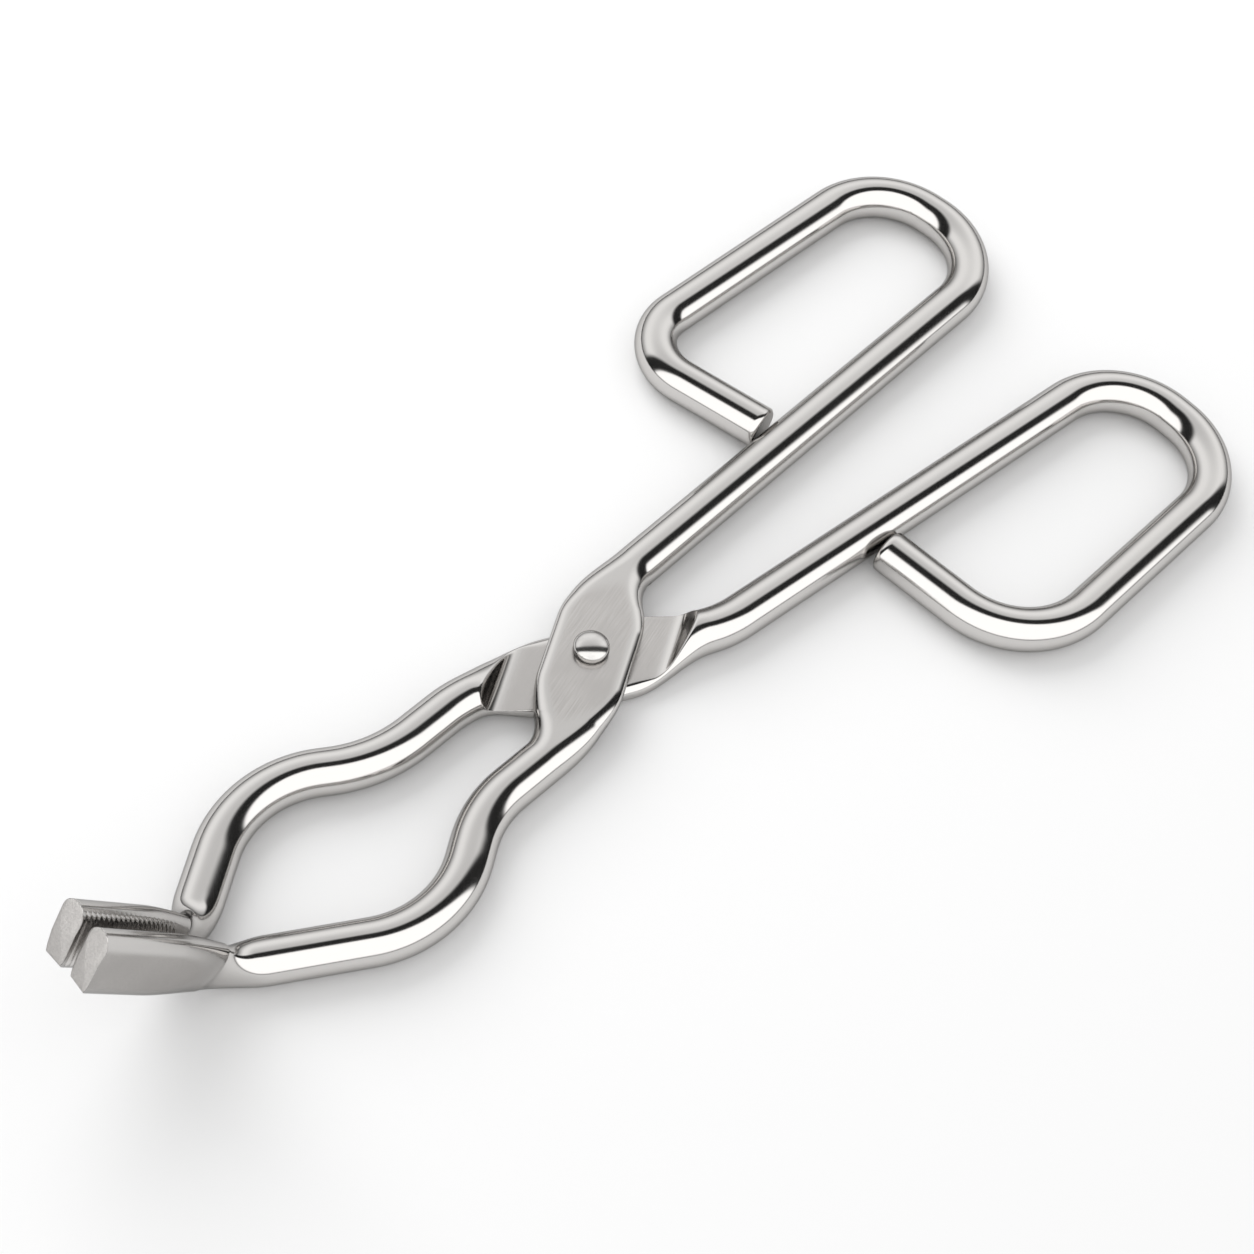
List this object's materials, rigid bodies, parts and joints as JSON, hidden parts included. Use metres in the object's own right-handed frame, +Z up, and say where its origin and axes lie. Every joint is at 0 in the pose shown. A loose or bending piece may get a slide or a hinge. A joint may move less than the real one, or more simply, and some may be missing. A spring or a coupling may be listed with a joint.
{
  "type": "crucible tongs",
  "caption": "Crucible tongs: two crossed steel rods on a rivet, with finger loops behind, a bow and upturned toothed jaws in front.",
  "frame": {"origin": "the rivet's axis on the plane that the tongs lie on", "axes": "+X from the rivet to the jaws, half way between the arms; +Y to the jaw of the upper arm; +Z up, the way the jaws turn"},
  "size_m": [0.2347, 0.1033, 0.0396],
  "materials": {
    "polished_steel": "mirror-polished rod with brushed forged flats",
    "rivet_steel": "polished"
  },
  "bodies": {
    "lower": {"lower_arm": "polished_steel", "rivet": "rivet_steel"},
    "upper": {"upper_arm": "polished_steel"}
  },
  "joints": [
    {"name": "pivot", "type": "hinge", "parent": "lower", "child": "upper", "pos_m": [0, 0, 0.004], "axis": [0, 0, 1], "range_deg": [-0.6, 60]}
  ]
}
